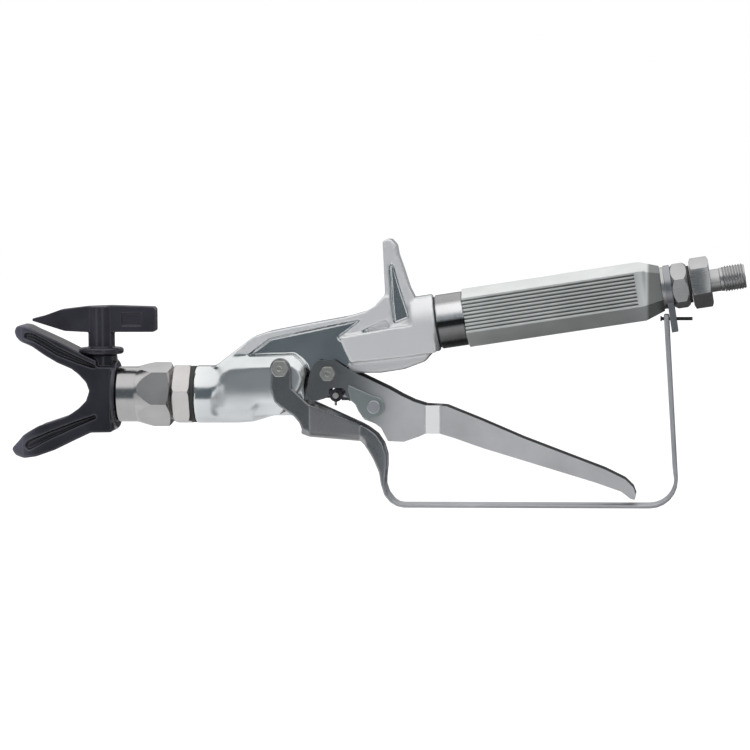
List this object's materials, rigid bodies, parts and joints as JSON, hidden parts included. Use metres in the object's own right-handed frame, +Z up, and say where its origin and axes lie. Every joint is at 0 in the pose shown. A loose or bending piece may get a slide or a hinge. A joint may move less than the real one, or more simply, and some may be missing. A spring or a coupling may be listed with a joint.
{
  "type": "airless paint spray gun",
  "caption": "Airless paint spray gun with in-line hexagonal grip, four-finger trigger, strap guard, reversible tip in a winged guard, and a threaded hose swivel.",
  "frame": {"origin": "where the turning axis of the reversible tip crosses the spray axis, at the tip's orifice", "axes": "+X along the spray axis from the tip to the hose end, +Z up through the tip's flag, -Y the near side with the bolt heads and the trigger lock"},
  "size_m": [0.3682, 0.0365, 0.134],
  "materials": {
    "black_plastic": "moulded, slightly glossy",
    "bright_steel": "nickel-plated, satin",
    "polished_alloy": "cast and polished",
    "pressed_steel": "zinc-plated sheet, satin",
    "dark_steel": "phosphated sheet, satin",
    "satin_alloy": "turned and milled, satin",
    "ring_steel": "polished",
    "hard_metal": "ground",
    "rubber_black": "matt"
  },
  "bodies": {
    "gun": {"seat_housing": "bright_steel", "valve_seat": "hard_metal", "housing_seal": "rubber_black", "gun_body": "polished_alloy", "return_spring": "pressed_steel", "needle_packing": "rubber_black", "packing_nut": "pressed_steel", "pivot_bolt": "bright_steel", "pivot_nut": "bright_steel", "trigger_guard": "dark_steel", "guard_bolt": "bright_steel", "guard_bolt_nut": "bright_steel", "ring_seal": "rubber_black", "label_ring": "ring_steel", "fluid_tube": "pressed_steel", "filter_screen": "satin_alloy", "filter_spring_seat": "pressed_steel", "grip": "satin_alloy", "tail_fitting": "bright_steel", "tail_washer": "bright_steel", "guard_clip": "pressed_steel", "clip_pin": "rubber_black", "lock_nut": "bright_steel", "swivel_seal": "rubber_black"},
    "tip": {"tip_handle": "black_plastic", "tip_barrel": "bright_steel", "tip_orifice": "hard_metal"},
    "guard": {"tip_guard": "black_plastic", "saddle_seal": "bright_steel", "tip_gasket": "rubber_black"},
    "nut": {"retaining_nut": "bright_steel"},
    "valve": {"valve_ball": "hard_metal", "needle": "bright_steel", "cross_pin": "bright_steel", "pin_bushes": "black_plastic", "pin_clip": "dark_steel", "needle_nut": "dark_steel"},
    "trigger": {"trigger": "pressed_steel", "lock_rivet": "bright_steel"},
    "lock": {"trigger_lock": "pressed_steel"},
    "swivel": {"swivel_nut": "bright_steel", "spigot_seal": "rubber_black"}
  },
  "joints": [
    {"name": "trigger_pull", "type": "hinge", "parent": "gun", "child": "trigger", "pos_m": [0.1154, 0, 0.0109], "axis": [0, -1, 0], "range_deg": [0, 18], "stiffness_Nm_per_rad": 4, "springref_deg": -11.46},
    {"name": "needle_slide", "type": "slide", "parent": "gun", "child": "valve", "axis": [1, 0, 0], "range_m": [0, 0.0034], "deforming": ["return_spring"]},
    {"name": "lock_turn", "type": "hinge", "parent": "trigger", "child": "lock", "pos_m": [0.1384, 0, -0.0057], "axis": [0, 1, 0], "range_deg": [0, 28]},
    {"name": "guard_turn", "type": "hinge", "parent": "gun", "child": "guard", "pos_m": [0, 0, 0], "axis": [1, 0, 0], "range_deg": [-90, 90]},
    {"name": "tip_turn", "type": "hinge", "parent": "guard", "child": "tip", "pos_m": [0, 0, 0], "axis": [0, 0, 1], "range_deg": [0, 180]},
    {"name": "nut_turn", "type": "hinge", "parent": "gun", "child": "nut", "pos_m": [0.02, 0, 0], "axis": [1, 0, 0], "continuous": true},
    {"name": "swivel_turn", "type": "hinge", "parent": "gun", "child": "swivel", "pos_m": [0.29859, 0, 0.05505], "axis": [0.9891, 0, 0.1469], "continuous": true}
  ],
  "couplings": [
    {"joint": "needle_slide", "follows": "trigger_pull", "m_per_rad": 0.0105}
  ]
}
